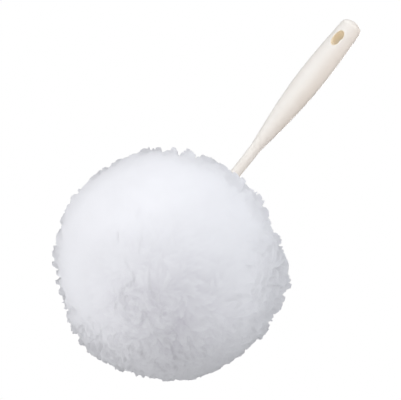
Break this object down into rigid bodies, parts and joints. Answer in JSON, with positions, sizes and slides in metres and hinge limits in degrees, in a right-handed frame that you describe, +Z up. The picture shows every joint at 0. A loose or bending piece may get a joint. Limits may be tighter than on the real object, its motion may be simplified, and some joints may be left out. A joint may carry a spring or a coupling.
{
  "type": "hand duster",
  "caption": "Ball-headed hand duster: a round puff of long soft white fibre on a twisted wire core, with a slim cream plastic handle that has an oval hanging hole.",
  "frame": {"origin": "middle of the oval hanging hole, on the handle's axis, where a hook or peg holds the duster", "axes": "+Z up along the handle's axis, away from the fibre ball, which hangs below; the hanging hole runs along Y; +X is to the right seen from the front, which faces -Y"},
  "size_m": [0.2388, 0.2342, 0.4235],
  "materials": {
    "ivory_plastic": "satin, smooth moulded",
    "steel_wire": "bright drawn wire",
    "white_fibre": "long loose fibre, matt, fluffy"
  },
  "bodies": {
    "root": {"handle": "ivory_plastic", "core_wire": "steel_wire", "fibre_bundle_01": "white_fibre", "fibre_bundle_02": "white_fibre", "fibre_bundle_03": "white_fibre", "fibre_bundle_04": "white_fibre", "fibre_bundle_05": "white_fibre", "fibre_bundle_06": "white_fibre", "fibre_bundle_07": "white_fibre", "fibre_bundle_08": "white_fibre", "fibre_bundle_09": "white_fibre", "fibre_bundle_10": "white_fibre", "fibre_bundle_11": "white_fibre", "fibre_bundle_12": "white_fibre", "fibre_bundle_13": "white_fibre", "fibre_bundle_14": "white_fibre", "fibre_bundle_15": "white_fibre", "fibre_bundle_16": "white_fibre", "fibre_bundle_17": "white_fibre", "fibre_bundle_18": "white_fibre", "fibre_bundle_19": "white_fibre", "fibre_bundle_20": "white_fibre"}
  },
  "joints": []
}
